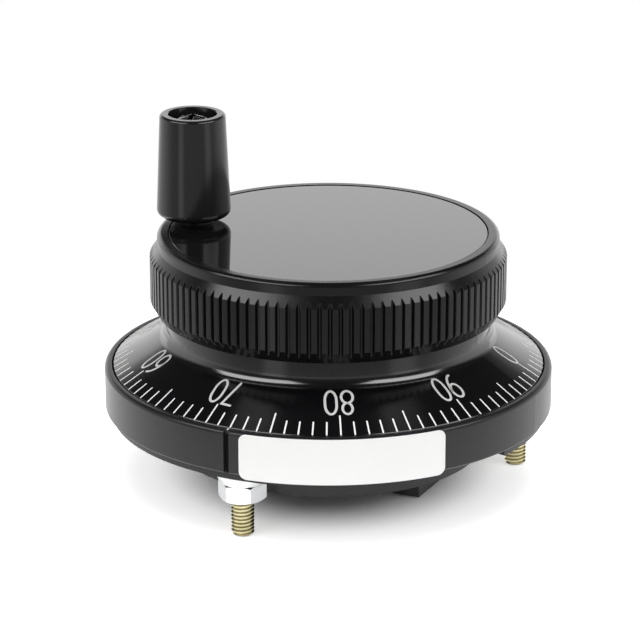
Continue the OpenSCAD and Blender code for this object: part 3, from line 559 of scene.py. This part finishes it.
def widen_fillet():
    """A ring that widens the fillet between the dial's cone and its neck to the photograph's."""
    start = Vector((DIAL_RADIUS, 0, DIAL_HIGH.z - NECK_MARGIN))
    neck = DIAL_TREE.ray_cast(start, Vector((-1, 0, 0)))[0].x
    corner = CONE_INNER.z + (CONE_INNER.x - neck) * math.tan(CONE_TILT)
    middle = corner + FILLET_RADIUS * (1 / math.cos(CONE_TILT) - math.tan(CONE_TILT))
    bend = FILLET_RADIUS - FILLET_LIFT
    stop = 270 - math.degrees(CONE_TILT)
    outline = arc(neck + FILLET_RADIUS, middle, bend, bend, 180, stop, FILLET_STEPS)
    outline.append(outline[-1] - Vector((math.sin(CONE_TILT), math.cos(CONE_TILT))) * FILLET_SEAT)
    outline.append(Vector((neck - FILLET_SEAT, corner - FILLET_SEAT)))
    outline.append(Vector((neck - FILLET_SEAT, middle)))
    ring = {"points": [], "faces": []}
    add_grid(ring, turned(outline, FILLET_SIDES, Vector()), close_rows=True, close_points=True)
    make_piece("dial_fillet", ring, FINISHES["fillet_black"], "wheel", FILLET_CREASE)


widen_fillet()

# ---------------------------------------------------------------- threaded studs

THREAD_PITCH = 0.5 * MM
THREAD_DEPTH = 0.29 * MM
THREAD_SIDES = 48
THREAD_CREASE = math.radians(25)
THREAD_ROOT = STUD_RADIUS - THREAD_DEPTH
# A stud's end face, a little smaller than the thread's root
END_RADIUS = THREAD_ROOT - 0.05 * MM
# How far the thread runs up into the nut
THREAD_IN_NUT = 0.4 * MM
SHANK_RADIUS = STUD_RADIUS - 0.17 * MM
HEAD_RADIUS = STUD_RADIUS + 0.9 * MM
HEAD_HEIGHT = 0.8 * MM
# Share of the pitch at which each corner of the thread's section stands, and whether it is on the crest
THREAD_SECTION = ((0, False), (0.24, False), (0.55, True), (0.69, True), (1, False))


def thread_rows(low, high, centre):
    """Corners of a helical thread between two levels, one row for each step along the helix."""
    turns = math.ceil((high - low) / THREAD_PITCH) + 2
    rows = []
    for step in range(turns * THREAD_SIDES + 1):
        out = direction(2 * math.pi * step / THREAD_SIDES)
        row = []
        for share, crest in THREAD_SECTION:
            z = low + THREAD_PITCH * (step / THREAD_SIDES - 1 + share)
            radius = min(STUD_RADIUS if crest else THREAD_ROOT, END_RADIUS + max(z - low, 0))
            if z <= low:
                z, radius = low, END_RADIUS
            if z >= high:
                z, radius = high, SHANK_RADIUS
            row.append(centre + out * radius + Vector((0, 0, z)))
        rows.append(row)
    return rows


def make_studs():
    """The three studs, threaded up into their nuts, with their heads in the flange floor."""
    low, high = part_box("mounting_studs")
    thread_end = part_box("stud_nuts")[0].z + THREAD_IN_NUT
    head_low = high.z - HEAD_HEIGHT
    end_face = [(0, low.z), (END_RADIUS, low.z)]
    shank = [(SHANK_RADIUS, thread_end), (SHANK_RADIUS, head_low), (HEAD_RADIUS, head_low),
             (HEAD_RADIUS, high.z), (0, high.z)]
    studs = {"points": [], "faces": []}
    for stud_angle in STUD_ANGLES:
        centre = direction(stud_angle) * STUD_CIRCLE
        add_grid(studs, thread_rows(low.z, thread_end, centre))
        for outline in (end_face, shank):
            add_grid(studs, turned(outline, THREAD_SIDES, centre), close_rows=True)
    made = make_piece("threaded_studs", studs, FINISHES["stud_zinc"], "housing", THREAD_CREASE)
    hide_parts("mounting_studs")


make_studs()

# ---------------------------------------------------------------- floor

FLOOR_REACH = 72 * MM
FLOOR_SIDES = 96
FLOOR_GREY = 0.9
FLOOR_ROUGHNESS = 0.7
FLOOR_SPECULAR = 0.2
# The floor lies this far under the studs' ends
FLOOR_GAP = 0.02 * MM
# Painted light: the floor's glow for camera and gloss rays, and the distances from the axis between
# which it comes in, so that the part's shadow shows only near the axis
FLOOR_PAINTED_GLOW = 0.5
LIFT_START = 13 * MM
LIFT_END = 25 * MM


def white_ray_mask(tree):
    """1 for a ray that should see the white background, 0 for one that lights a surface."""
    rays = add_node(tree, "LightPath", {}).node.outputs
    seen = larger(tree, rays["Is Camera Ray"], rays["Is Glossy Ray"])
    return larger(tree, seen, rays["Is Transmission Ray"])


def floor_material():
    """Pale floor whose painted glow makes it read white to camera and gloss, except under the part."""
    material = bpy.data.materials.new("floor_white")
    material.use_nodes = True
    tree = material.node_tree
    shader = tree.nodes["Principled BSDF"]
    shader.inputs["Base Color"].default_value = (FLOOR_GREY, FLOOR_GREY, FLOOR_GREY, 1)
    shader.inputs["Roughness"].default_value = FLOOR_ROUGHNESS
    shader.inputs["Specular IOR Level"].default_value = FLOOR_SPECULAR
    shader.inputs["Emission Color"].default_value = (1, 1, 1, 1)
    place = add_node(tree, "TexCoord", {}, "Object")
    distance = add_node(tree, "VectorMath", {0: place}, "Value", operation="LENGTH")
    outside = ramp(tree, distance, LIFT_START, LIFT_END, 0, FLOOR_PAINTED_GLOW)
    lift = add_node(tree, "Math", {0: white_ray_mask(tree), 1: outside}, "Value", operation="MULTIPLY")
    feed(tree, shader.inputs["Emission Strength"], lift)
    return material


def make_floor():
    """A round pale floor just under the studs' ends, which keeps the part's shadow."""
    mesh = bpy.data.meshes.new("floor")
    rim = [direction(2 * math.pi * i / FLOOR_SIDES) * FLOOR_REACH for i in range(FLOOR_SIDES)]
    mesh.from_pydata(rim, [], [list(range(FLOOR_SIDES))])
    mesh.materials.append(floor_material())
    floor = bpy.data.objects.new("floor", mesh)
    floor.location.z = PART_LOW - FLOOR_GAP
    bpy.context.scene.collection.objects.link(floor)


make_floor()

# ---------------------------------------------------------------- world

# What the studio adds to lit surfaces, and the levels at which gloss sees its parts
WORLD_FILL = 0.5
BACK_WALL = 1
FRONT_WALL = 0.12
CEILING = 0.05
TABLE = 0.45
# The front turns into the back between these, 1 being straight behind the part
BACK_START, BACK_FULL = -0.5, 0.3
# The walls fade into the ceiling between these heights
GLOW_TOP = math.sin(math.radians(13.5))
GLOW_END = math.sin(math.radians(29))
# The table fades into the walls between this height and as far below
HORIZON = 0.02
# Pale stripes of the table in front, as turn and half-width in degrees, and their level
STRIPES = ((-38, 7), (54, 9))
STRIPE_LEVEL = 1.1
# A stripe fades out between these shares of its half-width
STRIPE_FULL, STRIPE_END = 0.5, 1.5


def along(tree, source, way):
    """How far a unit vector points along another."""
    return add_node(tree, "VectorMath", {0: source, 1: way}, "Value", operation="DOT_PRODUCT")


def striped_table(tree, sky):
    """Level of the table in front, with its pale stripes."""
    flat = add_node(tree, "VectorMath", {0: sky, 1: (1, 1, 0)}, "Vector", operation="MULTIPLY")
    bearing = add_node(tree, "VectorMath", {0: flat}, "Vector", operation="NORMALIZE")
    level = TABLE
    for turn, half in STRIPES:
        near = along(tree, bearing, towards(math.radians(turn), 0))
        end = math.cos(math.radians(half * STRIPE_END))
        full = math.cos(math.radians(half * STRIPE_FULL))
        level = blend(tree, ramp(tree, near, end, full, 0, 1), level, STRIPE_LEVEL)
    return level


def studio_level(tree):
    """What gloss sees: a white wall behind, a dim wall and table in front, and a dark ceiling."""
    sky = add_node(tree, "TexCoord", {}, "Generated")
    height = add_node(tree, "SeparateXYZ", {"Vector": sky}, "Z")
    behind = ramp(tree, along(tree, sky, towards(math.pi, 0)), BACK_START, BACK_FULL, 0, 1)
    walls = blend(tree, behind, FRONT_WALL, BACK_WALL)
    upper = blend(tree, ramp(tree, height, GLOW_TOP, GLOW_END, 0, 1), walls, CEILING)
    lower = blend(tree, behind, striped_table(tree, sky), BACK_WALL)
    return blend(tree, ramp(tree, height, -HORIZON, HORIZON, 0, 1), lower, upper)


def make_world():
    """White to the camera, the studio to gloss, and an even fill to everything else."""
    world = bpy.data.worlds.new("studio")
    bpy.context.scene.world = world
    world.use_nodes = True
    tree = world.node_tree
    background = tree.nodes["Background"]
    rays = add_node(tree, "LightPath", {}).node.outputs
    level = blend(tree, rays["Is Glossy Ray"], WORLD_FILL, studio_level(tree))
    direct = larger(tree, rays["Is Camera Ray"], rays["Is Transmission Ray"])
    background.inputs["Color"].default_value = (1, 1, 1, 1)
    feed(tree, background.inputs["Strength"], blend(tree, direct, level, 1))


make_world()

# ---------------------------------------------------------------- lamps


def softbox(name, turn, height, distance, width, tall, radiance, glossy=True, diffuse=True):
    """A rectangular softbox aimed at the part.

    Its turn and height are in degrees from the camera's side, its distance and sizes in metres.
    """
    data = bpy.data.lights.new(name, "AREA")
    data.shape = "RECTANGLE"
    data.size, data.size_y = width, tall
    data.energy = radiance * width * tall * math.pi
    lamp = bpy.data.objects.new(name, data)
    bpy.context.scene.collection.objects.link(lamp)
    out = towards(math.radians(turn), math.radians(height))
    lamp.location = out * distance
    lamp.rotation_euler = out.to_track_quat("Z", "Y").to_euler()
    lamp.visible_camera = False
    lamp.visible_glossy = glossy
    lamp.visible_diffuse = diffuse


softbox("backdrop", 180, 8, 1.6, 2.4, 0.7, 0.6)
softbox("overhead", 0, 88, 1.2, 1.1, 1.1, 2.3, glossy=False)
softbox("left_box", -55, 36, 1.1, 1.15, 0.5, 2.4)
softbox("right_box", 58, 36, 1.1, 1.05, 0.5, 2.4)
softbox("left_glint", -55, 37, 1.1, 1.0, 0.4, 3.0, diffuse=False)
softbox("right_glint", 58, 37, 1.1, 0.9, 0.4, 3.0, diffuse=False)
softbox("top_left", -135, 69, 1.2, 0.22, 0.22, 0.6)
softbox("top_right", 137, 69, 1.2, 0.22, 0.22, 0.6)

bpy.context.scene.view_settings.view_transform = "Standard"
